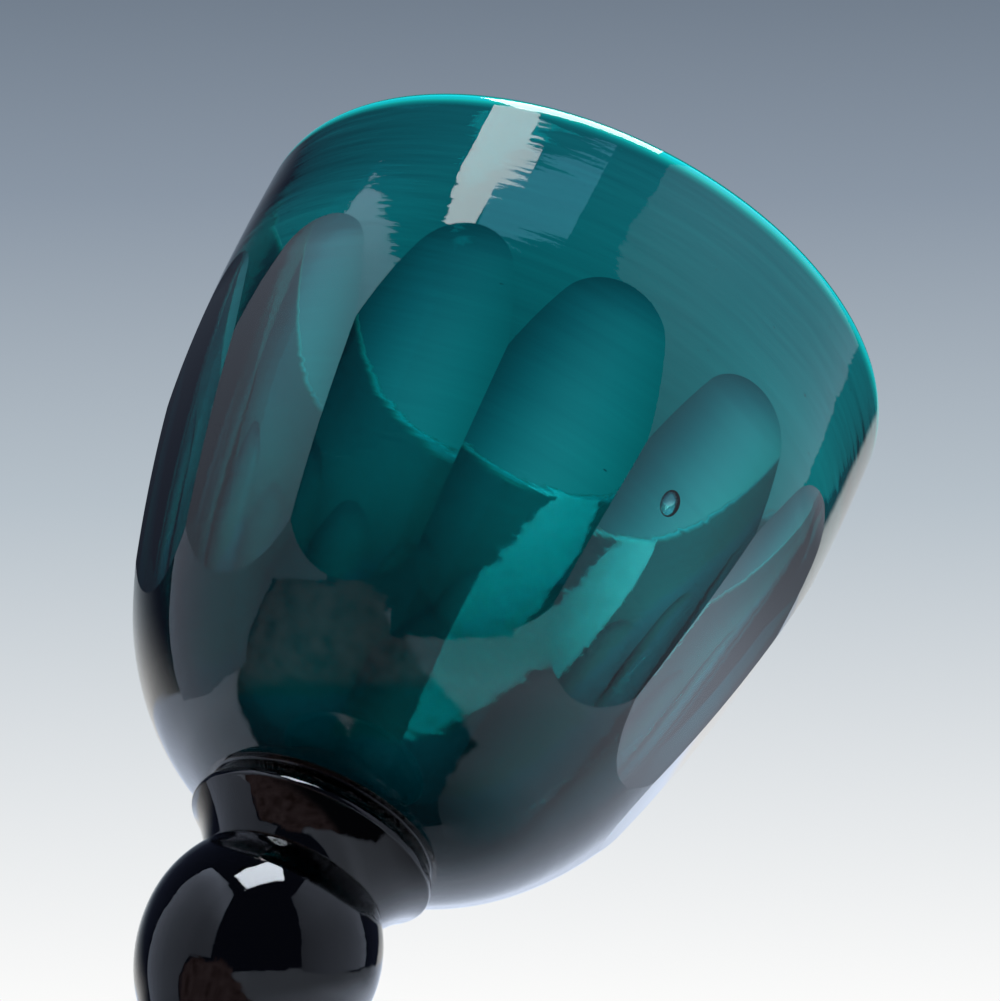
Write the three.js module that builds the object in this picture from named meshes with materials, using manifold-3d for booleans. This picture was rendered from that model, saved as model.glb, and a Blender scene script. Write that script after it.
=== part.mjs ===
// Wine goblet of deep green glass, blown in four gathers that are joined hot:
// a slice-cut bowl, the collar under it, a baluster stem and a conical foot.
// Millimetres, +Z up, origin on the table under the middle of the foot.

import * as THREE from 'three';
import { mergeVertices } from 'three/addons/utils/BufferGeometryUtils.js';
import Module from 'manifold-3d';

const wasm = await Module();
wasm.setup();

// Foot: a shallow cone, hollow underneath, that stands on a narrow ground ring.
const footRadius = 38;
const footHeight = 9;
const footEdgeThickness = 2.6;
const footEdgeRound = 0.3;
const footJointRadius = 8.4;
const footSkirtRadius = 24;
const footSkirtRise = 2.4;
const footShoulderSpread = 8;
const footShoulderDrop = 2.6;
const restRingInset = 1.6;
const restRingWidth = 2.6;
const footHollowDepth = 3.2;
const footHollowBow = 0.4;
const pontilRadius = 8;
const pontilDepth = 0.9;

// Stem: a drop that is widest near its top, narrows to a waist and flares to the foot.
const stemLength = 57.8;
const dropRadius = 13.25;
const dropShoulder = 8.3;
const dropUpperReach = 13.8;
const dropLowerReach = 15.6;
const dropEllipseEnd = 10.4;
const waistRadius = 5;
const waistHeight = 19;
const waistStretch = 9.5;
const toeSpread = 0.6;
const toeHeight = 3.4;

// Collar: a disc with a sharp crease, flared down to the stem.
const collarFlareHeight = 6.2;
const collarBandHeight = 1.8;
const creaseRadius = 13.9;
const collarBellyRadius = 14.25;
const collarBellyDrop = 1.3;
const collarCoveSpread = 1.1;
const collarCoveDrop = 2.2;

// Bowl: a superellipse outside, measured up from the collar's crease.
const rimRadius = 40;
const bowlRise = 77;
const outsideRisePower = 2.47;
const outsideSpreadPower = 2.74;
const rimThickness = 1.5;
const floorRise = 4.4;
const insideRisePower = 2;
const insideSpreadPower = 3.64;
const wallSwell = 3.91;
const wallSwellPower = 1.81;

// Slices: the lengthwise cuts round the bowl, flat across and gently bent along.
const sliceCount = 13;
const sliceMiddle = 44;
const sliceDepth = 1.05;
const sliceTilt = THREE.MathUtils.degToRad(11.3);
const sliceBendRadius = 195;

// Roundness of the lathe-shaped pieces.
const bowlSegments = sliceCount * 5;
const stemSegments = 48;
const footSegments = 60;

// Heights of the joints above the table.
const stemTop = footHeight + stemLength;
const crease = stemTop + collarFlareHeight;
const collarTop = crease + collarBandHeight;

function glass(color) {
  return new THREE.MeshStandardMaterial({ color, roughness: 0.06, metalness: 0 });
}

// A body turned about Z. The profile runs anticlockwise in the plane of radius and height.
function turned(profile, segments) {
  const geometry = new THREE.LatheGeometry(profile, segments);
  geometry.rotateX(Math.PI / 2);
  return geometry;
}

function solidOf(geometry) {
  const bare = geometry.clone();
  bare.deleteAttribute('normal');
  bare.deleteAttribute('uv');
  const merged = mergeVertices(bare, 1e-5);
  return new wasm.Manifold(new wasm.Mesh({
    numProp: 3,
    vertProperties: new Float32Array(merged.attributes.position.array),
    triVerts: new Uint32Array(merged.index.array),
  }));
}

function geometryOf(solid) {
  const mesh = solid.getMesh();
  const geometry = new THREE.BufferGeometry();
  geometry.setAttribute('position', new THREE.BufferAttribute(mesh.vertProperties, 3));
  geometry.setIndex(new THREE.BufferAttribute(mesh.triVerts, 1));
  geometry.computeVertexNormals();
  return geometry;
}

// Radius of the bowl's outer face at a height above the crease.
function bowlOutside(height) {
  const t = Math.min(height / bowlRise, 1);
  return rimRadius * (1 - (1 - t) ** outsideRisePower) ** (1 / outsideSpreadPower);
}

// Radius of the bowl's inner face at a height above the crease.
function bowlInside(height) {
  const left = 1 - Math.min((height - floorRise) / (bowlRise - floorRise), 1);
  const spread = (1 - left ** insideRisePower) ** (1 / insideSpreadPower);
  return (rimRadius - rimThickness - wallSwell * left ** wallSwellPower) * spread;
}

const bowlJointRadius = bowlOutside(collarBandHeight);

function bowlProfile() {
  const outerSteps = 22;
  const innerSteps = 17;
  const rimSteps = 4;
  const rimBead = rimThickness / 2;
  const beadHeight = bowlRise - rimBead;
  const points = [new THREE.Vector2(0, collarTop)];
  for (let i = 0; i <= outerSteps; i++) {
    const height = THREE.MathUtils.lerp(collarBandHeight, beadHeight, (i / outerSteps) ** 1.5);
    points.push(new THREE.Vector2(bowlOutside(height), crease + height));
  }
  for (let i = 1; i < rimSteps; i++) {
    const turn = (i / rimSteps) * Math.PI;
    points.push(new THREE.Vector2(
      rimRadius - rimBead + rimBead * Math.cos(turn),
      crease + beadHeight + rimBead * Math.sin(turn),
    ));
  }
  for (let i = innerSteps; i >= 1; i--) {
    const height = THREE.MathUtils.lerp(floorRise, beadHeight, (i / innerSteps) ** 1.8);
    points.push(new THREE.Vector2(bowlInside(height), crease + height));
  }
  points.push(new THREE.Vector2(0, crease + floorRise));
  return points;
}

// What one pass of the stone takes off: everything outside an arc that leans with the bowl.
function sliceCutter() {
  const steps = 14;
  const reach = THREE.MathUtils.degToRad(16);
  const sliceDistance = bowlOutside(sliceMiddle) - sliceDepth;
  const centre = new THREE.Vector2(
    sliceDistance - sliceBendRadius * Math.cos(sliceTilt),
    crease + sliceMiddle + sliceBendRadius * Math.sin(sliceTilt),
  );
  const outline = new THREE.Shape();
  for (let i = 0; i <= steps; i++) {
    const angle = THREE.MathUtils.lerp(-reach, reach, i / steps) - sliceTilt;
    const x = centre.x + sliceBendRadius * Math.cos(angle);
    const y = centre.y + sliceBendRadius * Math.sin(angle);
    if (i === 0) outline.moveTo(x, y);
    else outline.lineTo(x, y);
  }
  outline.lineTo(rimRadius * 2, centre.y + sliceBendRadius);
  outline.lineTo(rimRadius * 2, centre.y - sliceBendRadius);
  outline.closePath();
  const breadth = rimRadius * 2;
  const slab = new THREE.ExtrudeGeometry(outline, { depth: breadth, bevelEnabled: false });
  slab.translate(0, 0, -breadth / 2);
  slab.rotateX(Math.PI / 2);
  return slab;
}

function bowlGeometry() {
  const cutter = sliceCutter();
  let bowl = solidOf(turned(bowlProfile(), bowlSegments));
  for (let i = 0; i < sliceCount; i++) {
    const slice = cutter.clone();
    slice.rotateZ((i / sliceCount) * 2 * Math.PI - Math.PI / 2);
    bowl = bowl.subtract(solidOf(slice));
  }
  return geometryOf(bowl);
}

// Radius of the drop at a height above its widest ring.
function dropOutside(height) {
  const reach = height > 0 ? dropUpperReach : dropLowerReach;
  return dropRadius * Math.sqrt(1 - (height / reach) ** 2);
}

const stemJointRadius = dropOutside(dropShoulder);

function collarGeometry() {
  const belly = crease - collarBellyDrop;
  const flareSteps = 7;
  const flare = new THREE.QuadraticBezierCurve(
    new THREE.Vector2(stemJointRadius, stemTop),
    new THREE.Vector2(stemJointRadius + collarCoveSpread, belly - collarCoveDrop),
    new THREE.Vector2(collarBellyRadius, belly),
  );
  const points = [
    new THREE.Vector2(0, stemTop),
    ...flare.getPoints(flareSteps),
    new THREE.Vector2(creaseRadius, crease),
    new THREE.Vector2(bowlJointRadius, collarTop),
    new THREE.Vector2(0, collarTop),
  ];
  return turned(points, stemSegments);
}

function stemGeometry() {
  const widest = stemTop - dropShoulder;
  const waist = footHeight + waistHeight;
  const dropEnd = widest - dropEllipseEnd;
  const dropEndRadius = dropOutside(-dropEllipseEnd);
  const dropEndSlope = dropEllipseEnd * (dropRadius / dropLowerReach) ** 2 / dropEndRadius;
  const taper = (dropEnd - waist) / 3;
  const points = [new THREE.Vector2(0, footHeight)];
  const flare = new THREE.CubicBezierCurve(
    new THREE.Vector2(footJointRadius, footHeight),
    new THREE.Vector2(waistRadius + toeSpread, footHeight + toeHeight),
    new THREE.Vector2(waistRadius, waist - waistStretch),
    new THREE.Vector2(waistRadius, waist),
  );
  const neck = new THREE.CubicBezierCurve(
    new THREE.Vector2(waistRadius, waist),
    new THREE.Vector2(waistRadius, waist + taper),
    new THREE.Vector2(dropEndRadius - taper * dropEndSlope, dropEnd - taper),
    new THREE.Vector2(dropEndRadius, dropEnd),
  );
  points.push(...flare.getPoints(7), ...neck.getPoints(6).slice(1));
  const dropSteps = 11;
  for (let i = 1; i <= dropSteps; i++) {
    const height = THREE.MathUtils.lerp(-dropEllipseEnd, dropShoulder, i / dropSteps);
    points.push(new THREE.Vector2(dropOutside(height), widest + height));
  }
  points.push(new THREE.Vector2(0, stemTop));
  return turned(points, stemSegments);
}

function footGeometry() {
  const ringOuter = footRadius - restRingInset;
  const ringInner = ringOuter - restRingWidth;
  const edgeTurn = footEdgeThickness / 2;
  const top = new THREE.CubicBezierCurve(
    new THREE.Vector2(footRadius - edgeTurn, footEdgeThickness),
    new THREE.Vector2(footSkirtRadius, footEdgeThickness + footSkirtRise),
    new THREE.Vector2(footJointRadius + footShoulderSpread, footHeight - footShoulderDrop),
    new THREE.Vector2(footJointRadius, footHeight),
  );
  const hollow = new THREE.QuadraticBezierCurve(
    new THREE.Vector2(pontilRadius, footHollowDepth),
    new THREE.Vector2((pontilRadius + ringInner) / 2, footHollowDepth / 2 + footHollowBow),
    new THREE.Vector2(ringInner, 0),
  );
  const pontil = new THREE.QuadraticBezierCurve(
    new THREE.Vector2(0, footHollowDepth + pontilDepth),
    new THREE.Vector2(pontilRadius / 2, footHollowDepth + pontilDepth),
    new THREE.Vector2(pontilRadius, footHollowDepth),
  );
  const points = [
    ...pontil.getPoints(3),
    ...hollow.getPoints(4).slice(1),
    new THREE.Vector2(ringOuter, 0),
    new THREE.Vector2(footRadius - footEdgeRound, edgeTurn / 2),
    new THREE.Vector2(footRadius, edgeTurn),
    new THREE.Vector2(footRadius - footEdgeRound, footEdgeThickness - edgeTurn / 2),
    ...top.getPoints(9),
    new THREE.Vector2(0, footHeight),
  ];
  return turned(points, footSegments);
}

function piece(name, geometry, color) {
  const mesh = new THREE.Mesh(geometry, glass(color));
  mesh.name = name;
  return mesh;
}

const goblet = new THREE.Group();
goblet.add(piece('foot', footGeometry(), 0x0c3a3c));
goblet.add(piece('baluster_stem', stemGeometry(), 0x070d12));
goblet.add(piece('bowl_collar', collarGeometry(), 0x0a1419));
goblet.add(piece('bowl', bowlGeometry(), 0x0a5653));

export default goblet;
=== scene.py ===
# %% [markdown]
# # A slice-cut goblet of deep green glass
# The goblet was blown in four gathers that were stuck together hot: the bowl, the collar under
# it, the drop-shaped stem and the foot. After it cooled, thirteen upright slices were ground
# and polished round the bowl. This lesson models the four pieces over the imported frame, gives
# them a glass that is green where it is thin and black where it is thick, and lights them with
# the few large cards that a glass photographer would use.

# %% Open the frame
import math
import random

import bmesh
import bpy
from mathutils import Matrix, Vector


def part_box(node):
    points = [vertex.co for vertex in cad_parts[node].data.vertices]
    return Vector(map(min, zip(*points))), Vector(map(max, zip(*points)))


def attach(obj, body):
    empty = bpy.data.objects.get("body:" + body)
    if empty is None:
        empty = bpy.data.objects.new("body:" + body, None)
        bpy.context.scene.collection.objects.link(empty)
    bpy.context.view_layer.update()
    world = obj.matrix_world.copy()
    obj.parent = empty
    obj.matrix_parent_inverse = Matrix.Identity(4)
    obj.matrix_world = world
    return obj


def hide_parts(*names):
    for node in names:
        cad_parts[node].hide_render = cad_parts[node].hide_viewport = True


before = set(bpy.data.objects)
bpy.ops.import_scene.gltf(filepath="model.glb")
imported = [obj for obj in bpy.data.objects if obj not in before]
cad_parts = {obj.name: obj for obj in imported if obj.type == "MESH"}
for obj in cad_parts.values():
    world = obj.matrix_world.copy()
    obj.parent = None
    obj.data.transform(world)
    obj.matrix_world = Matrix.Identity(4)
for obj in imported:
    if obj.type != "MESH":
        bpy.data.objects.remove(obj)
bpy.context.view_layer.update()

mm = 0.001
foot_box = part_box("foot")
stem_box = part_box("baluster_stem")
collar_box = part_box("bowl_collar")
bowl_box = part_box("bowl")

# %% [markdown]
# ## The camera
# The photograph looks up at the bowl from below the foot, with the goblet's axis leaning to the
# right. The camera could be tilted by hand until the rim and the slices fall in place. Here it
# stands at a measured place, looks at a point beside the bowl's axis and is rolled, so that the
# goblet itself stays upright on its foot.

# %% Stand the camera in its place
camera_place = Vector((-42.90, -358.50, -100.43)) * mm
camera_aim = Vector((-0.78, -21.12, 110.28)) * mm
camera_roll = math.radians(26.125)
camera_lens = 129.835

looking = (camera_aim - camera_place).normalized()
upright = looking.to_track_quat("-Z", "Y").to_matrix()
level = upright @ Matrix.Rotation(camera_roll, 3, "Z")

camera_data = bpy.data.cameras.new("camera")
camera_data.lens = camera_lens
camera_data.sensor_width = 36
camera_data.clip_start = 10 * mm
camera = bpy.data.objects.new("camera", camera_data)
camera.matrix_world = Matrix.Translation(camera_place) @ level.to_4x4()
bpy.context.scene.collection.objects.link(camera)
bpy.context.scene.camera = camera
bpy.context.scene.view_settings.view_transform = "Standard"
print("camera is", round((camera_aim - camera_place).length / mm), "mm from its aim")

# %% [markdown]
# ## Turning a profile
# All four pieces are round, as blown and tooled glass is. A lathe-turned mesh needs only its
# profile: a chain of points in radius and height. The spin operator sweeps the chain round the
# axis, and its last step is merged with its first, so that no seam is left. Where two gathers
# meet, each reaches a little way into the other, so that no two faces lie on each other.

# %% A spin that closes on itself
joint_sink = 0.15 * mm
joint_inset = 0.5 * mm
merge_distance = 0.2e-6


def turned(name, profile, steps):
    """A closed mesh turned about Z. The profile is a list of (radius, height) in metres."""
    bm = bmesh.new()
    points = [bm.verts.new((radius, 0, height)) for radius, height in profile]
    edges = [bm.edges.new(pair) for pair in zip(points, points[1:])]
    bmesh.ops.spin(bm, geom=points + edges, cent=(0, 0, 0), axis=(0, 0, 1),
                   angle=math.tau, steps=steps, use_merge=True)
    bmesh.ops.remove_doubles(bm, verts=bm.verts, dist=merge_distance)
    bmesh.ops.recalc_face_normals(bm, faces=bm.faces)
    for face in bm.faces:
        face.smooth = True
    mesh = bpy.data.meshes.new(name)
    bm.to_mesh(mesh)
    bm.free()
    piece = bpy.data.objects.new(name, mesh)
    bpy.context.scene.collection.objects.link(piece)
    print(name, "has", len(mesh.polygons), "faces")
    return piece


def between(start, end, steps):
    """Evenly spaced values from start to end, both included."""
    return [start + (end - start) * i / steps for i in range(steps + 1)]


def bezier(points, steps):
    """Points along a Bezier curve of any degree, from its first point to its last."""
    curve = []
    for t in between(0, 1, steps):
        level_points = [Vector(p) for p in points]
        while len(level_points) > 1:
            level_points = [a.lerp(b, t) for a, b in zip(level_points, level_points[1:])]
        curve.append(tuple(level_points[0]))
    return curve


# %% [markdown]
# ## The bowl
# The bowl's outside is a superellipse: nearly a cylinder at the rim, round at the base. The
# wall is 1.5 mm thick at the rim, 3 mm at the middle and 4 mm near the base, so that the stone
# has something to grind away. The two profiles meet in a fire-polished rim. It is half an
# ellipse, which reaches a little farther down on its outer side.

# %% The bowl's profile
rim_radius = min(-bowl_box[0].x, -bowl_box[0].y, bowl_box[1].x, bowl_box[1].y)
rim_height = bowl_box[1].z
joint_height = collar_box[1].z
collar_band = 1.8 * mm
crease_height = joint_height - collar_band
bowl_rise = rim_height - crease_height
outside_rise_power = 2.47
outside_spread_power = 2.74
rim_thickness = 1.5 * mm
floor_rise = 4.4 * mm
inside_rise_power = 2.0
inside_spread_power = 3.64
wall_swell = 3.91 * mm
wall_swell_power = 1.81
bead = rim_thickness / 2
bead_outer_height = 1.8 * mm
bead_inner_height = 1.6 * mm


def bowl_outside(height):
    """Radius of the outer face at a height above the crease."""
    left = 1 - min(height / bowl_rise, 1)
    return rim_radius * (1 - left ** outside_rise_power) ** (1 / outside_spread_power)


def bowl_inside(height):
    """Radius of the inner face at a height above the crease."""
    left = 1 - min((height - floor_rise) / (bowl_rise - floor_rise), 1)
    spread = (1 - left ** inside_rise_power) ** (1 / inside_spread_power)
    return (rim_radius - rim_thickness - wall_swell * left ** wall_swell_power) * spread


def bead_height(outwards):
    """How far the rounding of the rim reaches down on its outer or inner side."""
    return bead_outer_height if outwards else bead_inner_height


def bowl_profile():
    """The whole outline of the bowl, from the middle of its base over the rim to its floor."""
    outer_steps, inner_steps, rim_steps = 90, 70, 28
    outer_crowding, inner_crowding = 1.6, 2
    base = joint_height - crease_height
    outer_end = bowl_rise - bead_outer_height
    inner_end = bowl_rise - bead_inner_height
    points = [(0, base - joint_sink), (bowl_outside(base) - joint_inset, base - joint_sink)]
    for t in between(0, 1, outer_steps):
        height = base + (outer_end - base) * t ** outer_crowding
        points.append((bowl_outside(height), height))
    for t in between(0, math.pi, rim_steps)[1:-1]:
        reach = bead_height(math.cos(t) > 0)
        points.append((rim_radius - bead + bead * math.cos(t),
                       bowl_rise - reach + reach * math.sin(t)))
    for t in between(1, 0, inner_steps)[:-1]:
        height = floor_rise + (inner_end - floor_rise) * t ** inner_crowding
        points.append((bowl_inside(height), height))
    points.append((0, floor_rise))
    return [(radius, crease_height + height) for radius, height in points]


bowl_steps = 312
bowl = turned("bowl_glass", bowl_profile(), bowl_steps)

# %% [markdown]
# ## An uneven wall
# A bowl never leaves the pipe quite even. In the photograph more light comes through the slices
# at its sides than through those at the front, so the inner face lies a little farther out
# there. An oval spin of its own would have to be joined to the round one, so the vertices of
# the inner face are moved instead.

# %% Thin the wall at the sides
side_thinning = 0.42 * mm
thick_side = math.radians(-90 - 12)
thinning_off_the_front = (0.26, 0.76)
thinning_above_the_base = (10, 26)
thinning_below_the_rim = (74, 60)
face_tolerance = 0.001 * mm


def smooth(value, start, end):
    """0 before start and 1 past end, smoothly between. Start may lie after end."""
    share = min(max((value - start) / (end - start), 0), 1)
    return share * share * (3 - 2 * share)


def thinner(turn, height):
    """How much farther out the inner face lies at the bowl's sides than at its front and back."""
    share = smooth(abs(math.sin(turn - thick_side)), *thinning_off_the_front)
    along = smooth(height / mm, *thinning_above_the_base)
    along *= smooth(height / mm, *thinning_below_the_rim)
    return side_thinning * share * along


shifted = 0
for vertex in bowl.data.vertices:
    radius = math.hypot(vertex.co.x, vertex.co.y)
    height = vertex.co.z - crease_height
    if height > floor_rise and abs(radius - bowl_inside(height)) < face_tolerance:
        growth = thinner(math.atan2(vertex.co.y, vertex.co.x), height) / max(radius, mm)
        vertex.co.x *= 1 + growth
        vertex.co.y *= 1 + growth
        shifted += growth > 0
print("vertices of the inner face moved outwards:", shifted)

# %% [markdown]
# ## The slices
# Each slice is one pass of the grinding stone: flat across and gently bent along. The stone bites
# a millimetre deep in the middle and lifts off at both ends, quickly at the round top and slowly
# at the bottom. A cutter works by eye, so no two slices lie quite alike. Each is described by
# where it faces and by how far its face stands from the bowl's axis at each height.

# %% Describe one slice
slice_count = 13
slice_middle = 44 * mm
slice_depth = 1.05 * mm
slice_lean = math.radians(11.3)
slice_bend = 195 * mm
slice_top = 58.3 * mm
slice_bottom = 15.4 * mm
top_lift_run = 4 * mm
bottom_lift_run = 20 * mm
slice_numbers = range(-(slice_count // 2), slice_count - slice_count // 2)
turn_errors = {-3: 0.9, -2: 0.6, -1: 0.3, 0: -0.7, 1: 0.4, 2: 0.6, 4: -0.5, 6: 0.4}
bite_errors = {-2: 0.05, 0: 0.08, 1: 0.17, 2: 0.15, 3: -0.04, 5: 0.06, -5: 0.08}
bottom_errors = {-2: -0.65, -1: 0.2, 0: 0.4, 1: 1.6, 2: 1.4, 4: 0.9, 6: -0.3, -5: 0.8}


def slice_face(number):
    """The turn of a slice about Z, its lower and upper end, and its face: radius over height."""
    turn = math.tau * number / slice_count - math.pi / 2
    turn += math.radians(turn_errors.get(number, 0))
    bite = slice_depth + bite_errors.get(number, 0) * mm
    bottom = slice_bottom + bottom_errors.get(number, 0) * mm
    centre_radius = bowl_outside(slice_middle) - bite - slice_bend * math.cos(slice_lean)
    centre_height = slice_middle + slice_bend * math.sin(slice_lean)

    def arc(height):
        return centre_radius + math.sqrt(slice_bend ** 2 - (height - centre_height) ** 2)

    top_lift = bowl_outside(slice_top) - arc(slice_top)
    bottom_lift = bowl_outside(bottom) - arc(bottom)

    def face(height):
        past_top = max(0, 1 + (height - slice_top) / top_lift_run)
        past_bottom = max(0, 1 + (bottom - height) / bottom_lift_run)
        return arc(height) + top_lift * past_top ** 2 + bottom_lift * past_bottom ** 2

    return turn, bottom, slice_top, face


faces_of_slices = {number: slice_face(number) for number in slice_numbers}
print("slice 0 stands", round(faces_of_slices[0][3](slice_middle) / mm, 2), "mm from the axis")

# %% [markdown]
# ## Grinding them
# The faces could be cut one by one with a knife tool, but a real stone leaves a whole face at
# once. So each stone is a solid of its own: the face's line, extruded across the bowl and then
# outwards. Boolean modifiers take the thirteen stones away from the bowl.

# %% Grind the bowl with thirteen stones
stone_breadth = 60 * mm
stone_overrun = 3 * mm
stone_steps = 110


def move(extruded, bm, vec):
    """Moves the vertices that an extrusion has just made."""
    verts = [v for v in extruded["geom"] if isinstance(v, bmesh.types.BMVert)]
    bmesh.ops.translate(bm, verts=verts, vec=vec)


def stone(number):
    """The solid that grinds one slice."""
    turn, bottom, top, face = faces_of_slices[number]
    bm = bmesh.new()
    heights = between(bottom - stone_overrun, top + stone_overrun, stone_steps)
    line = [bm.verts.new((face(h), -stone_breadth / 2, crease_height + h)) for h in heights]
    edges = [bm.edges.new(pair) for pair in zip(line, line[1:])]
    move(bmesh.ops.extrude_edge_only(bm, edges=edges), bm, (0, stone_breadth, 0))
    move(bmesh.ops.extrude_face_region(bm, geom=bm.faces[:]), bm, (stone_breadth, 0, 0))
    bmesh.ops.recalc_face_normals(bm, faces=bm.faces)
    bmesh.ops.rotate(bm, verts=bm.verts, cent=(0, 0, 0), matrix=Matrix.Rotation(turn, 3, "Z"))
    mesh = bpy.data.meshes.new("stone")
    bm.to_mesh(mesh)
    bm.free()
    cutter = bpy.data.objects.new("stone", mesh)
    bpy.context.scene.collection.objects.link(cutter)
    return cutter


def apply_modifiers(piece):
    """Replaces a piece's mesh by what its modifiers make of it."""
    evaluated = piece.evaluated_get(bpy.context.evaluated_depsgraph_get())
    mesh = bpy.data.meshes.new_from_object(evaluated)
    piece.modifiers.clear()
    piece.data = mesh


stones = [stone(number) for number in slice_numbers]
for cutter in stones:
    cut = bowl.modifiers.new("slice", "BOOLEAN")
    cut.operation = "DIFFERENCE"
    cut.solver = "MANIFOLD"
    cut.object = cutter
apply_modifiers(bowl)
for cutter in stones:
    bpy.data.objects.remove(cutter)
print("bowl after the slices:", len(bowl.data.polygons), "faces")

# %% [markdown]
# ## Bubbles in the wall
# Old table glass holds seeds, which are gas bubbles that the blowing drew out round the bowl, and
# this one has a bigger flat blister in a slice. A bubble is a hole in the glass, so it is a small
# ball inside the wall whose faces are turned round to look inwards.

# %% Blow the blister and the seeds
blister_turn = math.radians(-90 + 24.2)
blister_height = 40.7 * mm
blister_depth = 0.5
blister_size = (1.3 * mm, 1.6 * mm, 0.42 * mm)
blister_detail = 4
seed_count = 70
seed_lengths = (0.06, 0.3)
seed_widths = (0.03, 0.07)
seed_flatness = 1.4
seed_heights = (22, 73)
seed_depths = (0.2, 0.8)
seed_detail = 2
near_slice = 0.9
random.seed(7)


def wall_outside(turn, height):
    """Radius of the finished outer face: the blown one, or a slice's where that lies deeper."""
    radii = [bowl_outside(height)]
    for slice_turn, _, _, face in faces_of_slices.values():
        off = math.cos(turn - slice_turn)
        if off > near_slice:
            radii.append(face(height) / off)
    return min(radii)


def slope(radius_at, height):
    """How fast a radius grows with height."""
    step = 0.01 * mm
    return (radius_at(height + step) - radius_at(height - step)) / (2 * step)


def bubble(bm, turn, height, depth, size, detail):
    """A hole in the wall at a share of its depth. Its size is round, along and through."""
    inner = bowl_inside(height) + thinner(turn, height)
    radius = inner + (wall_outside(turn, height) - inner) * depth
    lean = Matrix.Rotation(-math.atan(slope(bowl_outside, height)), 4, "Y")
    place = (Matrix.Rotation(turn, 4, "Z") @ Matrix.Translation((radius, 0, crease_height + height))
             @ lean.inverted() @ Matrix.Diagonal((size[2], size[0], size[1], 1)))
    ball = bmesh.ops.create_icosphere(bm, subdivisions=detail, radius=1, matrix=place)
    faces = {face for vert in ball["verts"] for face in vert.link_faces}
    bmesh.ops.reverse_faces(bm, faces=list(faces))


bm = bmesh.new()
bm.from_mesh(bowl.data)
blown_faces = len(bm.faces)
bubble(bm, blister_turn, blister_height, blister_depth, blister_size, blister_detail)
for _ in range(seed_count):
    length = random.uniform(*seed_lengths) * mm
    width = random.uniform(*seed_widths) * mm
    turn = random.uniform(0, math.tau)
    height = random.uniform(*seed_heights) * mm
    depth = random.uniform(*seed_depths)
    bubble(bm, turn, height, depth, (length, width * seed_flatness, width), seed_detail)
bm.to_mesh(bowl.data)
bm.free()
print("faces in bubbles:", len(bowl.data.polygons) - blown_faces)

# %% [markdown]
# ## True normals for polished faces
# Glass shows every error of a smoothed normal, because it bends light by it. Blender averages the
# normals of neighbouring faces, which wobbles beside a cut. The bowl's shape is a formula, so its
# normals can be exact: the slope of the profile on the blown faces, and of the stone's line on
# the ground ones. The edges of the slices stay crisp.

# %% Set the normals of the bowl
on_the_stone = 5 * mm / 1000
slice_end_margin = 1 * mm
edge_of_base = joint_height - 0.04 * mm
axis_radius = 0.05 * mm
inner_margin = 0.5 * mm
lowest_slope = floor_rise + 0.012 * mm
turn_step = 0.002
facing_out, facing_down = 0.5, -0.5


def ground_by(face):
    """Where the slice that ground a face points, and its radius over height, or None."""
    centre = face.center
    facing = (math.atan2(centre.y, centre.x) + math.pi / 2) * slice_count / math.tau
    for number in {math.floor(facing), math.ceil(facing)}:
        wrapped = (number - slice_numbers[0]) % slice_count + slice_numbers[0]
        turn, bottom, top, radius_at = faces_of_slices[wrapped]
        height = centre.z - crease_height
        if not bottom - slice_end_margin < height < top + slice_end_margin:
            continue
        out = Vector((math.cos(turn), math.sin(turn), 0))
        off_the_stone = abs(centre.dot(out) - radius_at(height))
        if off_the_stone < on_the_stone and face.normal.dot(out) > facing_out:
            return out, radius_at
    return None


def blown_normal(point, flat):
    """The normal of the turned bowl at a point."""
    out = Vector((point.x, point.y, 0))
    radius, height = out.length, point.z - crease_height
    if radius < axis_radius:
        return Vector((0, 0, math.copysign(1, flat.z)))
    out.normalize()
    across = radius - rim_radius + bead
    reach = bead_height(across > 0)
    if height > bowl_rise - reach:
        rise = Vector((0, 0, height - bowl_rise + reach))
        return (out * across / bead ** 2 + rise / reach ** 2).normalized()
    if flat.dot(out) > 0 or (flat.z < facing_down and radius > bowl_inside(height) + inner_margin):
        return (out - Vector((0, 0, slope(bowl_outside, height)))).normalized()
    height = max(height, lowest_slope)
    turn = math.atan2(point.y, point.x)
    swing = thinner(turn + turn_step, height) - thinner(turn - turn_step, height)
    swing /= 2 * turn_step * radius
    rise = slope(lambda h: bowl_inside(h) + thinner(turn, h), height)
    aside = Vector((0, 0, 1)).cross(out)
    return -(out - aside * swing - Vector((0, 0, rise))).normalized()


def set_bowl_normals(piece):
    """Gives the bowl its exact normals, and marks the faces that a stone ground."""
    mesh = piece.data
    mesh.shade_smooth()
    normals = [Vector((0, 0, 1))] * len(mesh.loops)
    on_a_slice = [0.0] * len(mesh.polygons)
    for face in mesh.polygons:
        slice_of_face = None if face.index >= blown_faces else ground_by(face)
        on_a_slice[face.index] = float(slice_of_face is not None)
        for loop, vertex in zip(face.loop_indices, face.vertices):
            corner = mesh.vertices[vertex].co
            if face.index >= blown_faces:
                normals[loop] = mesh.vertices[vertex].normal
            elif slice_of_face:
                out, radius_at = slice_of_face
                rise = slope(radius_at, corner.z - crease_height)
                normals[loop] = (out - Vector((0, 0, rise))).normalized()
            elif face.center.z < edge_of_base:
                normals[loop] = face.normal
            else:
                normals[loop] = blown_normal(corner, face.normal)
    mesh.normals_split_custom_set(normals)
    mark = mesh.attributes.new("ground", "FLOAT", "FACE")
    mark.data.foreach_set("value", on_a_slice)
    print("ground faces:", round(sum(on_a_slice)), "of", len(mesh.polygons))


set_bowl_normals(bowl)

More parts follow.
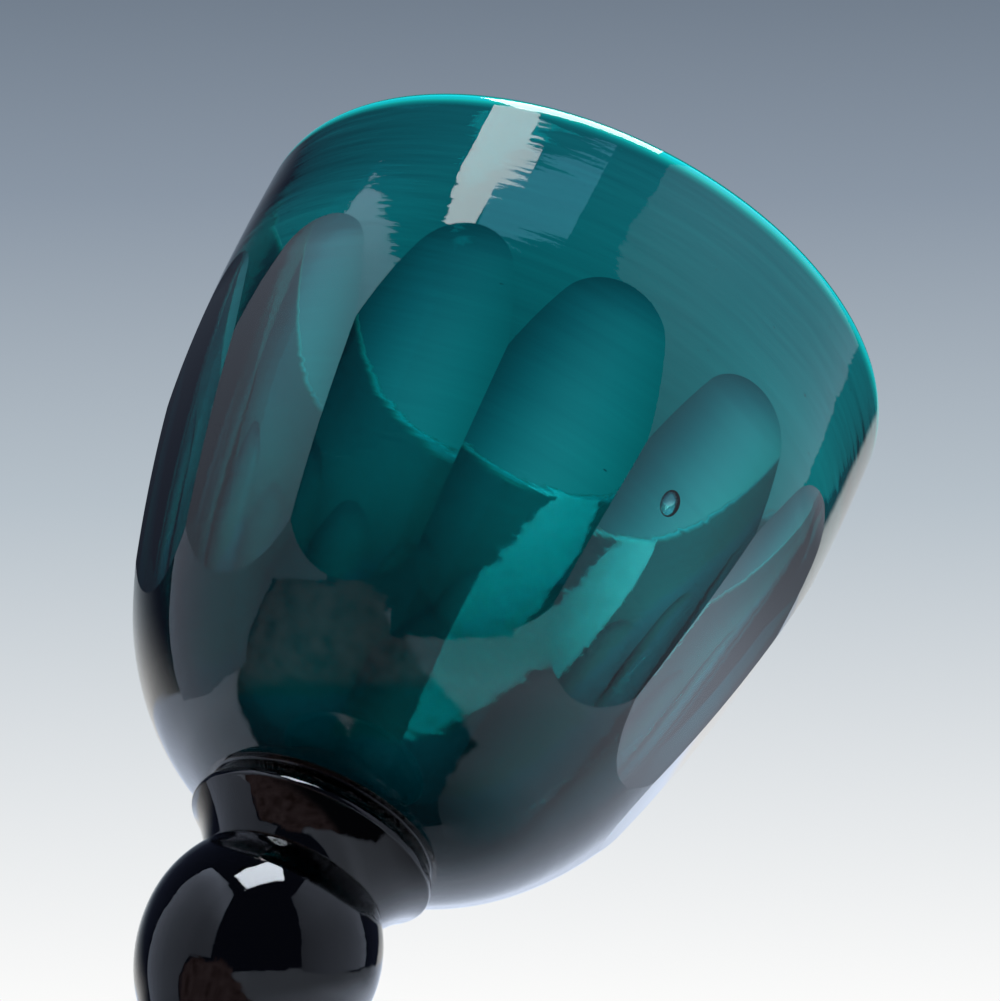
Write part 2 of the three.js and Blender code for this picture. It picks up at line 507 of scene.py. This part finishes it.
# %% [markdown]
# ## The collar
# The collar is a bit of glass dropped on the stem and pinched into a disc. It flares up from the
# stem to a round belly, turns in to a sharp crease, and a short band carries the bowl. Its
# outline is four Bezier curves, because they keep the crease sharp and the rest smooth. One
# smooth line through all the points would round the crease.

# %% Turn the collar
stem_top = stem_box[1].z
collar_belly_radius = collar_box[1].x
crease_radius = 13.9 * mm
belly_drop = 1.3 * mm
cove_spread = 1.1 * mm
cove_drop = 2.2 * mm
lip_swell = 0.12 * mm
groove_radius = 13.3 * mm
groove_height = crease_height + 1.45 * mm
shoulder_spread, shoulder_rise = 0.2 * mm, 0.3 * mm
band_spread, band_rise = 0.05 * mm, 0.2 * mm
stem_joint_radius = 10.59 * mm
bowl_joint_radius = bowl_outside(joint_height - crease_height)
flare_steps, lip_steps, shoulder_steps, band_steps = 40, 14, 10, 8

belly_height = crease_height - belly_drop
flare = bezier([(stem_joint_radius, stem_top),
                (stem_joint_radius + cove_spread, belly_height - cove_drop),
                (collar_belly_radius, belly_height)], flare_steps)
lip = bezier([(collar_belly_radius, belly_height),
              (collar_belly_radius + lip_swell, belly_height + 0.5 * belly_drop),
              (crease_radius, crease_height)], lip_steps)
shoulder = bezier([(crease_radius, crease_height),
                   (groove_radius + shoulder_spread, crease_height + shoulder_rise),
                   (groove_radius, groove_height)], shoulder_steps)
band = bezier([(groove_radius, groove_height),
               (groove_radius + band_spread, groove_height + band_rise),
               (bowl_joint_radius, joint_height)], band_steps)
collar_profile = [(0, stem_top - joint_sink),
                  (stem_joint_radius - joint_inset, stem_top - joint_sink)]
collar_profile += flare + lip[1:] + shoulder[1:] + band[1:]
collar_profile += [(bowl_joint_radius - joint_inset, joint_height + joint_sink),
                   (0, joint_height + joint_sink)]
round_steps = 256
collar = turned("collar_glass", collar_profile, round_steps)

# %% [markdown]
# ## The stem
# The stem is one long drop of glass: widest just under the collar, drawn in to a waist and let out
# again to the foot. The drop is part of an ellipse, and two Bezier curves carry it on. A curve
# drawn by eye could do for all of it, but an ellipse gives the knop one clean highlight.

# %% Turn the stem
drop_radius = stem_box[1].x
drop_shoulder = 8.3 * mm
drop_upper_reach = 13.8 * mm
drop_lower_reach = 15.6 * mm
drop_ellipse_end = 10.4 * mm
foot_top = foot_box[1].z
foot_joint_radius = 8.4 * mm
waist_radius = 5 * mm
waist_rise = 19 * mm
waist_stretch = 9.5 * mm
toe_spread = 0.6 * mm
toe_height = 3.4 * mm
toe_steps, neck_steps, drop_steps = 40, 30, 60


def drop_outside(height):
    """Radius of the drop at a height above its widest ring."""
    reach = drop_upper_reach if height > 0 else drop_lower_reach
    return drop_radius * math.sqrt(1 - (height / reach) ** 2)


widest = stem_top - drop_shoulder
waist = foot_top + waist_rise
drop_end = widest - drop_ellipse_end
drop_end_radius = drop_outside(-drop_ellipse_end)
drop_end_slope = drop_ellipse_end * (drop_radius / drop_lower_reach) ** 2 / drop_end_radius
taper = (drop_end - waist) / 3
toe = bezier([(foot_joint_radius, foot_top),
              (waist_radius + toe_spread, foot_top + toe_height),
              (waist_radius, waist - waist_stretch),
              (waist_radius, waist)], toe_steps)
neck = bezier([(waist_radius, waist),
               (waist_radius, waist + taper),
               (drop_end_radius - taper * drop_end_slope, drop_end - taper),
               (drop_end_radius, drop_end)], neck_steps)
drop = [(drop_outside(h), widest + h)
        for h in between(-drop_ellipse_end, drop_shoulder, drop_steps)]
stem_profile = [(0, foot_top - joint_sink),
                (foot_joint_radius - joint_inset, foot_top - joint_sink)]
stem_profile += toe + neck[1:] + drop[1:]
stem_profile += [(drop[-1][0] - joint_inset, stem_top + joint_sink), (0, stem_top + joint_sink)]
stem = turned("stem_glass", stem_profile, round_steps)

# %% [markdown]
# ## The foot
# The foot was spun out hot into a shallow cone. It is hollow underneath, with the ground-out mark
# of the pontil rod in the middle, and it stands on a narrow ring just inside its edge. A plain
# cone would look pressed, so its top is a Bezier curve that runs out flat towards the edge.

# %% Turn the foot
foot_radius = foot_box[1].x
foot_edge = 2.6 * mm
foot_edge_start = math.radians(-70)
foot_skirt_radius = 24 * mm
foot_skirt_rise = 2.4 * mm
foot_shoulder_spread = 8 * mm
foot_shoulder_drop = 2.6 * mm
rest_ring_inset = 1.6 * mm
rest_ring_width = 2.6 * mm
rest_ring_outer = foot_radius - rest_ring_inset
rest_ring_inner = rest_ring_outer - rest_ring_width
hollow_depth = 3.2 * mm
hollow_bow = 0.4 * mm
pontil_radius = 8 * mm
pontil_depth = 0.9 * mm
pontil_steps, hollow_steps, edge_steps, rise_steps = 16, 30, 16, 50

pontil = bezier([(0, hollow_depth + pontil_depth),
                 (pontil_radius / 2, hollow_depth + pontil_depth),
                 (pontil_radius, hollow_depth)], pontil_steps)
hollow = bezier([(pontil_radius, hollow_depth),
                 ((pontil_radius + rest_ring_inner) / 2, hollow_depth / 2 + hollow_bow),
                 (rest_ring_inner, 0)], hollow_steps)
edge_round = [(foot_radius - foot_edge / 2 + foot_edge / 2 * math.cos(a),
               foot_edge / 2 + foot_edge / 2 * math.sin(a))
              for a in between(foot_edge_start, math.pi / 2, edge_steps)]
foot_rise = bezier([(foot_radius - foot_edge / 2, foot_edge),
                    (foot_skirt_radius, foot_edge + foot_skirt_rise),
                    (foot_joint_radius + foot_shoulder_spread, foot_top - foot_shoulder_drop),
                    (foot_joint_radius, foot_top)], rise_steps)
foot_profile = pontil + hollow[1:] + [(rest_ring_outer, 0)] + edge_round + foot_rise[1:]
foot_profile += [(foot_joint_radius - joint_inset, foot_top + joint_sink),
                 (0, foot_top + joint_sink)]
foot = turned("foot_glass", foot_profile, round_steps)

# %% [markdown]
# ## A helper for shader nodes
# A finish is a tree of nodes. It could be wired by hand, with a line for every node, value and
# wire. This helper adds a node and wires it in one call, so that a finish reads like a formula.

# %% A node helper


class Nodes:
    """A small helper that adds and joins shader nodes."""

    def __init__(self, tree):
        self.tree = tree
        tree.nodes.clear()

    def add(self, kind, inputs=None, **settings):
        node = self.tree.nodes.new("ShaderNode" + kind)
        for name, value in settings.items():
            setattr(node, name, value)
        for name, value in (inputs or {}).items():
            if isinstance(value, bpy.types.NodeSocket):
                self.tree.links.new(value, node.inputs[name])
            else:
                node.inputs[name].default_value = value
        return node

    def math(self, operation, a, b=0.0):
        return self.add("Math", {0: a, 1: b}, operation=operation).outputs[0]

    def dot(self, vector, axis):
        node = self.add("VectorMath", {0: vector, 1: axis}, operation="DOT_PRODUCT")
        return node.outputs["Value"]

    def step(self, value, start, end):
        """0 before start and 1 past end, smoothly between. Start may lie after end."""
        node = self.add("MapRange", {"Value": value, "From Min": start, "From Max": end},
                        interpolation_type="SMOOTHSTEP")
        return node.outputs["Result"]

    def ramp(self, value, stops):
        """A colour that changes with a value. Each stop is a value and its colour."""
        start, end = stops[0][0], stops[-1][0]
        place = self.add("MapRange", {"Value": value, "From Min": start, "From Max": end})
        node = self.add("ValToRGB", {"Fac": place.outputs["Result"]})
        elements = node.color_ramp.elements
        while len(elements) < len(stops):
            elements.new(0.5)
        for element, (at, colour) in zip(elements, stops):
            element.position = (at - start) / (end - start)
            element.color = (*colour, 1) if isinstance(colour, tuple) else (colour,) * 3 + (1,)
        return node.outputs["Color"]

    def mix(self, share, a, b):
        node = self.add("Mix", data_type="RGBA")
        for name, value in (("Factor", share), ("A", a), ("B", b)):
            socket = [s for s in node.inputs if s.name == name and s.enabled][0]
            if isinstance(value, bpy.types.NodeSocket):
                self.tree.links.new(value, socket)
            else:
                socket.default_value = value
        return [s for s in node.outputs if s.enabled][0]

    def times(self, a, b):
        """Two colours multiplied."""
        product = self.mix(1.0, a, b)
        product.node.blend_type = "MULTIPLY"
        return product


# %% [markdown]
# ## The glass
# One batch of green glass made the whole goblet. It looks teal where it is thin, and black where
# it is thick, because each millimetre takes its share of the light. That is a volume and not a
# surface colour, so the surface stays clear and a Volume Absorption node tints what passes.
#
# The tools left faint rings on the blown faces, and the stone took them off the ground ones. A
# bump map draws the rings, and the bowl's own "ground" mark keeps them off the slices. The rim
# glows a little in the photograph, because the wall pipes light up to it. Cycles would need very
# many samples to find that light, so the rim has a teal tint and a faint glow of its own.

# %% The glass
ring_stretch = (0.25, 0.25, 3.0)
step_scale, line_scale, swell_scale, smudge_scale = 110.0, 700.0, 45.0, 60.0
step_share, line_share = 1.2, 0.14
smudge_start, smudge_full, smudge_roughness = 0.55, 0.8, 0.03
rim_glow_start, rim_glow_full = 2.0 * mm, 1.2 * mm
clear = (1, 1, 1, 1)
rim_tint = (0.25, 1.0, 0.95, 1)
rim_glow = (0.0, 0.11, 0.095, 1)
glass_ior = 1.52
shadow_tint = (0.9, 0.95, 0.95, 1)


def glass(name, kept, density, ripple):
    """Clear polished glass whose body keeps this (red, green, blue) of the light."""
    material = bpy.data.materials.new(name)
    material.use_nodes = True
    n = Nodes(material.node_tree)
    place = n.add("TexCoord").outputs["Object"]
    rings = n.add("Mapping", {"Vector": place, "Scale": ring_stretch}).outputs[0]
    steps = n.add("TexNoise", {"Vector": rings, "Scale": step_scale, "Detail": 2.0}).outputs["Fac"]
    lines = n.add("TexNoise", {"Vector": rings, "Scale": line_scale, "Detail": 3.0}).outputs["Fac"]
    tooled = n.math("ADD", n.math("MULTIPLY", steps, step_share),
                    n.math("MULTIPLY", lines, line_share))
    ground = n.add("Attribute", attribute_name="ground").outputs["Fac"]
    tooled = n.math("MULTIPLY", tooled, n.math("SUBTRACT", 1.0, ground))
    swell = n.add("TexNoise", {"Vector": place, "Scale": swell_scale, "Detail": 1.0}).outputs["Fac"]
    height = n.math("ADD", tooled, swell)
    relief = n.add("Bump", {"Height": height, "Distance": ripple}).outputs["Normal"]
    smudge = n.add("TexNoise", {"Vector": place, "Scale": smudge_scale, "Detail": 5.0})
    wear = n.step(smudge.outputs["Fac"], smudge_start, smudge_full)
    wear = n.math("MULTIPLY", wear, smudge_roughness)
    high = n.add("SeparateXYZ", {0: place}).outputs["Z"]
    piped = n.step(high, rim_height - rim_glow_start, rim_height - rim_glow_full)
    tint = n.mix(piped, clear, rim_tint)
    surface = n.add("BsdfPrincipled", {
        "Base Color": tint, "Roughness": wear, "IOR": glass_ior, "Transmission Weight": 1.0,
        "Emission Color": rim_glow, "Emission Strength": piped, "Normal": relief})
    shade = n.add("BsdfTransparent", {"Color": shadow_tint})
    path = n.add("LightPath")
    both = n.add("MixShader", {0: path.outputs["Is Shadow Ray"], 1: surface.outputs[0],
                               2: shade.outputs[0]})
    body = n.add("VolumeAbsorption", {"Color": (*kept, 1), "Density": density})
    n.add("OutputMaterial", {"Surface": both.outputs[0], "Volume": body.outputs[0]})
    return material


green = (0.0, 0.757, 0.764)
green_density = 2500
blown_ripple, tooled_ripple = 0.00004, 0.00005
bowl_material = glass("bowl glass", green, green_density, blown_ripple)
collar_material = glass("collar glass", green, green_density, tooled_ripple)
stem_material = glass("stem glass", green, green_density, tooled_ripple)
foot_material = glass("foot glass", green, green_density, blown_ripple)
print("the glass keeps", green, "of red, green and blue at density", green_density)

# %% [markdown]
# ## Fitting the pieces to the frame
# Each mesh stands for one solid of the frame, in the same place. The solids could stay under
# the meshes, but they would show through the glass, so each mesh takes the place of its node.
# Nothing on a goblet moves, so all four ride on the one body.

# %% Hand each piece its glass and body, and hide its CAD node
for piece, node, material in ((bowl, "bowl", bowl_material),
                              (collar, "bowl_collar", collar_material),
                              (stem, "baluster_stem", stem_material),
                              (foot, "foot", foot_material)):
    piece.data.materials.clear()
    piece.data.materials.append(material)
    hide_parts(node)
    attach(piece, "root")
    print(piece.name, "stands for", node)

# %% [markdown]
# ## The studio
# Glass is lit by what it mirrors. The photographer put a tall white card on each side, a bright
# lamp overhead and a white table below, and left the camera's side dark. A card could be an area
# lamp, but a lamp lets the light behind it shine through. A card is a glowing mesh here, so it
# hides what is behind it. The floor is not lit by the cards, and they cast no shadow on it, so
# it stays even in other views. Every place is given in the studio's own axes: right, up and
# towards the camera, from the collar's crease.

# %% Studio axes and cards
studio_origin = Vector((0, 0, crease_height))
right, up, near = (level.col[i].copy() for i in range(3))
card_distance = 0.8
card_tint = (1.0, 1.13, 1.42, 1)


def card(name, corners, material):
    """A flat staged sheet that shows in the glass but not to the camera itself."""
    bm = bmesh.new()
    bm.faces.new([bm.verts.new(studio_origin + level @ Vector(corner)) for corner in corners])
    mesh = bpy.data.meshes.new(name)
    bm.to_mesh(mesh)
    bm.free()
    mesh.materials.append(material)
    sheet = bpy.data.objects.new(name, mesh)
    sheet.visible_camera = False
    bpy.context.scene.collection.objects.link(sheet)
    sheet.visible_diffuse = False
    sheet.visible_shadow = False
    print(name, "has", len(corners), "corners")
    return sheet


def glowing(name, levels_along, gain_up):
    """A glow that follows levels from back to front, times 1 + 2 x a gain from low to high."""
    material = bpy.data.materials.new(name)
    material.use_nodes = True
    n = Nodes(material.node_tree)
    place = n.add("NewGeometry").outputs["Position"]
    depth = n.math("SUBTRACT", n.dot(place, near), studio_origin.dot(near))
    rise = n.math("SUBTRACT", n.dot(place, up), studio_origin.dot(up))
    gain = n.math("MULTIPLY_ADD", n.ramp(rise, gain_up), 2.0)
    gain.node.inputs[2].default_value = 1.0
    tinted = n.times(n.ramp(depth, levels_along), card_tint)
    light = n.add("Emission", {"Color": tinted, "Strength": gain})
    n.add("OutputMaterial", {"Surface": light.outputs[0]})
    return material


left_corners = [(-0.4, -0.29), (-0.1, -0.29), (0.245, -0.18), (0.29, -0.04), (0.45, 0.22),
                (1.04, 0.34), (1.04, 2.1), (-0.4, 1.22)]
right_corners = [(-0.45, -0.2), (0.76, -0.12), (0.76, 1.44), (0.58, 1.31), (-0.45, 1.2)]
left_glow = glowing("left card glow",
                    [(-0.34, 0.6), (-0.1, 0.5), (0.0, 0.45), (0.3, 0.4), (0.5, 0.34)],
                    [(0.2, 0.0), (0.5, 0.04), (0.8, 0.14), (1.2, 0.6), (1.35, 0.85)])
right_glow = glowing("right card glow",
                     [(-0.4, 0.6), (-0.2, 0.5), (0.0, 0.45), (0.3, 0.39), (0.7, 0.27)],
                     [(0.2, 0.0), (0.4, 0.05), (0.55, 0.14), (1.0, 0.2)])
card("left card", [(-card_distance, y, z) for z, y in left_corners], left_glow)
card("right card", [(card_distance, y, z) for z, y in right_corners], right_glow)

# %% [markdown]
# ## The dark flag
# A flag is a small dark sheet that keeps something out of a mirror. This one stands in front of
# the bowl's base and hides the edge of the table from it. The table itself could be cut back, but
# the far wall mirrors it too. The flag has the dusk of the unlit studio, and it does not show in
# what shines through the glass.

# %% Hang the dark flag
dusk = (0.03, 0.038, 0.07, 1)
flag_distance = 0.215
flag_corners = [(-0.034, 0.006), (0.15, -0.015), (0.15, 0.1), (-0.034, 0.1)]
flag_dusk = bpy.data.materials.new("flag dusk")
flag_dusk.use_nodes = True
n = Nodes(flag_dusk.node_tree)
n.add("OutputMaterial", {"Surface": n.add("Emission", {"Color": dusk}).outputs[0]})
flag = card("flag", [(x, y, flag_distance) for x, y in flag_corners], flag_dusk)
flag.visible_transmission = False

# %% [markdown]
# ## The window overhead
# The lamp overhead is a window. Something above the rim hides a part of it from the outside of
# the bowl, and the far wall mirrors more of it. One lamp could not do both, so there are four, and
# light linking keeps each to its pieces. Light Path knows what a ray went through: none of the
# glass, when the outside mirrors the lamp, and at least two faces, when the far wall does.

# %% Hang the lamps


def soft_lamp(name, pieces, centre, upwards, width, height, glow):
    """A rectangular lamp overhead whose face has the brightness glow. It lights these pieces."""
    data = bpy.data.lights.new(name, "AREA")
    data.shape = "RECTANGLE"
    data.size, data.size_y = width, height
    data.energy = glow * math.pi * width * height
    lamp = bpy.data.objects.new(name, data)
    back = Vector((0, 1, 0))
    side = Vector(upwards).cross(back).normalized()
    axes = Matrix((side, back.cross(side), back)).transposed()
    place = studio_origin + level @ Vector(centre)
    lamp.matrix_world = Matrix.Translation(place) @ (level @ axes).to_4x4()
    lamp.visible_camera = False
    bpy.context.scene.collection.objects.link(lamp)
    reached = bpy.data.collections.new(name + " reaches")
    for piece in pieces:
        reached.objects.link(piece)
    lamp.light_linking.receiver_collection = reached
    return lamp


low_window = soft_lamp("low window", (collar, stem, foot), centre=(0.0, 0.9, 0.16),
                       upwards=(0.42, 0, 0.91), width=0.54, height=0.34, glow=14.5)
low_window.data.color = (0.84, 0.91, 1.0)
rim_window = soft_lamp("rim window", (bowl,), centre=(0.17, 0.905, -0.18),
                       upwards=(0.0, 0, 1.0), width=0.6, height=0.52, glow=12)
glow_window = soft_lamp("glow window", (bowl,), centre=(0.05, 0.91, 0.325),
                        upwards=(-0.27, 0, 0.96), width=0.42, height=0.12, glow=1.8)
glow_window.data.color = (0.22, 0.67, 1.0)
far_window = soft_lamp("far window", (bowl,), centre=(0.0, 0.915, 0.09),
                       upwards=(0.1, 0, 1.0), width=0.59, height=0.31, glow=13)
bowl_lamps = (rim_window, glow_window, far_window)
inner_share = 0.25
no_face, two_faces = 0.5, 1.5

# %% Let each lamp over the bowl see its own side of the glass
for lamp in bowl_lamps:
    lamp.data.use_nodes = True
    n = Nodes(lamp.data.node_tree)
    path = n.add("LightPath")
    depth = path.outputs["Transmission Depth"]
    if lamp == far_window:
        inner = n.math("MULTIPLY", path.outputs["Is Transmission Ray"], inner_share - 1)
        deep = n.math("GREATER_THAN", depth, two_faces)
        share = n.math("MULTIPLY", deep, n.math("ADD", inner, 1.0))
    else:
        share = n.math("LESS_THAN", depth, no_face)
    light = n.add("Emission", {"Strength": share})
    n.add("OutputLight", {"Surface": light.outputs[0]})
print("lamps over the bowl:", len(bowl_lamps))

# %% [markdown]
# ## The patch of light under the rim
# The bowl's outside mirrors only a part of the window, and its shape is measured: each corner is
# where a ray from the camera, mirrored at the bowl, meets a plane 1.2 m overhead. A lamp can only
# be a rectangle or an ellipse, so the part is a glowing sheet.

# %% Hang the part of the window that the outside mirrors
window_height = 1.2
window_glow = 6.3
window_corners = [(-0.306, 0.02), (-0.344, 0.075), (-0.377, 0.11), (-0.375, 0.21), (-0.37, 0.34),
                  (-0.335, 0.43), (-0.28, 0.4), (-0.18, 0.29), (-0.113, 0.308),
                  (-0.032, 0.337), (-0.021, 0.307), (-0.095, 0.242), (-0.09, 0.19), (-0.1, 0.02)]
high_glow = bpy.data.materials.new("high window glow")
high_glow.use_nodes = True
n = Nodes(high_glow.node_tree)
outside = n.math("LESS_THAN", n.add("LightPath").outputs["Transmission Depth"], no_face)
light = n.add("Emission", {"Strength": n.math("MULTIPLY", outside, window_glow)})
n.add("OutputMaterial", {"Surface": light.outputs[0]})
high_window = card("high window", [(x, window_height, z) for x, z in window_corners], high_glow)
bowl_alone = bpy.data.collections.new("high window reaches")
bowl_alone.objects.link(bowl)
high_window.light_linking.receiver_collection = bowl_alone

# %% [markdown]
# ## Backdrop and table
# Paper hangs behind the goblet, a table stretches below it, and the rest of the studio is in the
# dusk. It could all be built from sheets, but it is far away, so it is painted on the world by
# direction: the turn to the right and the rise, both in degrees. The glass mirrors and bends this
# studio in every view. The camera itself sees the paper behind the goblet and a plain pale level
# elsewhere, and that level lights the floor.

# %% Read the direction of a ray
degree = math.degrees(1)
world = bpy.data.worlds.new("backdrop")
world.use_nodes = True
bpy.context.scene.world = world
n = Nodes(world.node_tree)
ray = n.add("TexCoord").outputs["Generated"]
height = n.dot(ray, up)
forward = n.dot(ray, -near)
turn = n.math("MULTIPLY", n.math("ARCTAN2", n.dot(ray, right), forward), degree)
rise = n.math("MULTIPLY", n.math("ARCSINE", height), degree)
print("the world reads its rays along", [round(c, 3) for c in -near])

# %% [markdown]
# ## The paper
# The paper behind the goblet is lit from below, so it runs from white up to a dusky blue. It fades
# out to the left and ends sharply at the right. A lit sheet would need lamps of its own, and a
# ramp over the height of the ray gives the same run of colours without them.

# %% Paint the paper
left_lean, left_fade = 1.2, (58, 14)
right_lean, right_edge = 0.7, (30, 25)
paper_front = (0.0, 0.2)
paper = n.ramp(height, [(-0.14, (0.972, 0.972, 0.967)), (-0.084, (0.775, 0.80, 0.82)),
                        (0.0, (0.468, 0.53, 0.585)), (0.084, (0.254, 0.305, 0.374)),
                        (0.14, (0.165, 0.205, 0.26))])

left_slant = n.math("SUBTRACT", n.math("MULTIPLY", rise, left_lean), turn)
right_slant = n.math("ADD", n.math("MULTIPLY", rise, right_lean), turn)
paper_share = n.math("MULTIPLY", n.step(left_slant, *left_fade), n.step(right_slant, *right_edge))
paper_share = n.math("MULTIPLY", paper_share, n.step(forward, *paper_front))
print("the paper fades to the left over", left_fade[0] - left_fade[1], "degrees")

# %% [markdown]
# ## The table
# The table is white, and brightest behind the goblet and in front of it. Its edge is nearer on
# some sides than on others, so the skyline of the table is a ramp over the turn. A modelled table
# would throw its light on the goblet's foot, and the painted one shows in the glass alone.

# %% Paint the table
table_tint = (1.0, 1.12, 1.35, 1)
twice = (2, 2, 2, 1)  # a ramp's colours end at 1, so they hold half of the table's level
straight_up = 90
softness = 0.01
table_skyline = [(-180, 5), (-150, 2), (-112, -12), (-64, -17), (-20, -9), (10, -8),
                 (35, -11), (74, -13), (108, -9), (133, -3), (168, 5), (180, 5)]
table_top = n.ramp(turn, [(at, top / straight_up + 0.5) for at, top in table_skyline])
table_rise = n.math("ADD", n.math("DIVIDE", rise, straight_up), 0.5)
table_share = n.step(n.math("SUBTRACT", table_rise, table_top), softness, -softness)
table_edge = n.ramp(turn, [(-180, 0.56), (-130, 0.5), (-95, 0.8), (-70, 0.95), (-50, 0.8),
                           (0, 0.95), (30, 0.8), (50, 0.38), (75, 0.45), (110, 0.46),
                           (135, 0.5), (180, 0.5)])
table_deep = n.ramp(turn, [(-180, 0.28), (-100, 0.43), (-60, 0.5), (-20, 0.65), (20, 0.75),
                           (55, 0.65), (85, 0.55), (120, 0.4), (180, 0.3)])
table_deep = n.times(table_deep, twice)
# Straight down, the table grows darker: the dark stand under the goblet, and a painted shadow of
# the goblet on the table.
stand_and_shadow_below = n.ramp(rise, [(-80, 0.2), (-70, 0.3), (-55, 0.62), (-35, 0.78), (-25, 1.0)])
table_deep = n.times(table_deep, stand_and_shadow_below)
below_the_edge = (-13, -25)
table = n.mix(n.step(rise, *below_the_edge), table_edge, table_deep)
table = n.times(table, table_tint)
print("the table's edge is drawn through", len(table_skyline), "points")

# %% [markdown]
# ## Something brown
# Something dark brown stood at the camera's left, and the base of the bowl and the collar mirror
# it. Only its mirror image shows, so it is not modelled: a few slanted lines bound it, and a noise
# makes them ragged.

# %% Paint the brown
cloud_scale = 9.0
raggedness = 14
left_slope, brown_left = 0.6, (-110, -114)
right_slope, brown_right = -0.85, (-171, -166)
low_slope, brown_low = 0.75, (-246, -241)
brown_top = (15, 12)
brown_fade = (-16, -26)
brown_darkest_low = (0.02, 0.022, 0.03, 1)
full_turn, quarter_turn = 360, 90
past_the_back = n.math("MULTIPLY", n.math("GREATER_THAN", turn, quarter_turn), -full_turn)
round_turn = n.math("ADD", turn, past_the_back)
cloud = n.add("TexNoise", {"Vector": ray, "Scale": cloud_scale, "Detail": 4.0}).outputs["Fac"]
ragged = n.math("MULTIPLY", n.math("SUBTRACT", cloud, 0.5), raggedness)


def slanted(lean):
    """The turn along a slanted line, with a ragged edge."""
    return n.math("ADD", n.math("ADD", round_turn, n.math("MULTIPLY", rise, lean)), ragged)


brown_share = n.math("MULTIPLY", n.step(slanted(left_slope), *brown_left),
                     n.step(slanted(right_slope), *brown_right))
brown_share = n.math("MULTIPLY", brown_share, n.step(n.math("ADD", rise, ragged), *brown_top))
brown_share = n.math("MULTIPLY", brown_share, n.step(slanted(low_slope), *brown_low))
brown = n.ramp(cloud, [(0.3, (0.10, 0.06, 0.06)), (0.5, (0.24, 0.165, 0.175)),
                       (0.7, (0.33, 0.24, 0.25))])
# Lower down, the brown turns nearly black.
brown = n.mix(n.step(rise, *brown_fade), brown, brown_darkest_low)
print("the brown is ragged by", raggedness, "degrees")

# %% [markdown]
# ## The world
# The layers lie over each other: dusk, paper, table and brown. Light Path tells who asks. A mirror
# or a lens gets the studio, the camera gets the backdrop, and all other rays get the pale level.

# %% Put the world together
lit = n.mix(paper_share, dusk, paper)
lit = n.mix(table_share, lit, table)
lit = n.mix(brown_share, lit, brown)
pale = (0.72, 0.75, 0.79, 1)
behind_the_goblet = (0.75, 0.95)
path = n.add("LightPath")
behind = n.mix(n.step(forward, *behind_the_goblet), pale, paper)
mirrored = n.math("MAXIMUM", path.outputs["Is Glossy Ray"], path.outputs["Is Transmission Ray"])
seen = n.mix(mirrored, pale, lit)
seen = n.mix(path.outputs["Is Camera Ray"], seen, behind)
glow = n.add("Background", {"Color": seen, "Strength": 1.0})
n.add("OutputWorld", {"Surface": glow.outputs[0]})
print("the world has", len(world.node_tree.nodes), "nodes")

# %% [markdown]
# ## The floor
# The goblet stands on a plain pale floor that takes its shadow. The photograph looks up from below
# the floor, so the floor is see-through from below. A hidden floor would do for the photograph,
# but from the sides the goblet would then float. The table of the studio is in the world already,
# so the glass does not mirror the floor.

# %% Lay the floor
floor_reach = 4.0
floor_colour = (0.82, 0.83, 0.84, 1)
bm = bmesh.new()
bmesh.ops.create_grid(bm, x_segments=1, y_segments=1, size=floor_reach)
floor_mesh = bpy.data.meshes.new("floor")
bm.to_mesh(floor_mesh)
bm.free()
floor = bpy.data.objects.new("floor", floor_mesh)
bpy.context.scene.collection.objects.link(floor)
floor.visible_glossy = False
floor_material = bpy.data.materials.new("pale floor")
floor_material.use_nodes = True
n = Nodes(floor_material.node_tree)
matt = n.add("BsdfDiffuse", {"Color": floor_colour})
open_side = n.add("BsdfTransparent")
from_below = n.add("NewGeometry").outputs["Backfacing"]
one_sided = n.add("MixShader", {0: from_below, 1: matt.outputs[0], 2: open_side.outputs[0]})
n.add("OutputMaterial", {"Surface": one_sided.outputs[0]})
floor_mesh.materials.append(floor_material)
print("the floor reaches", floor_reach, "m to each side")
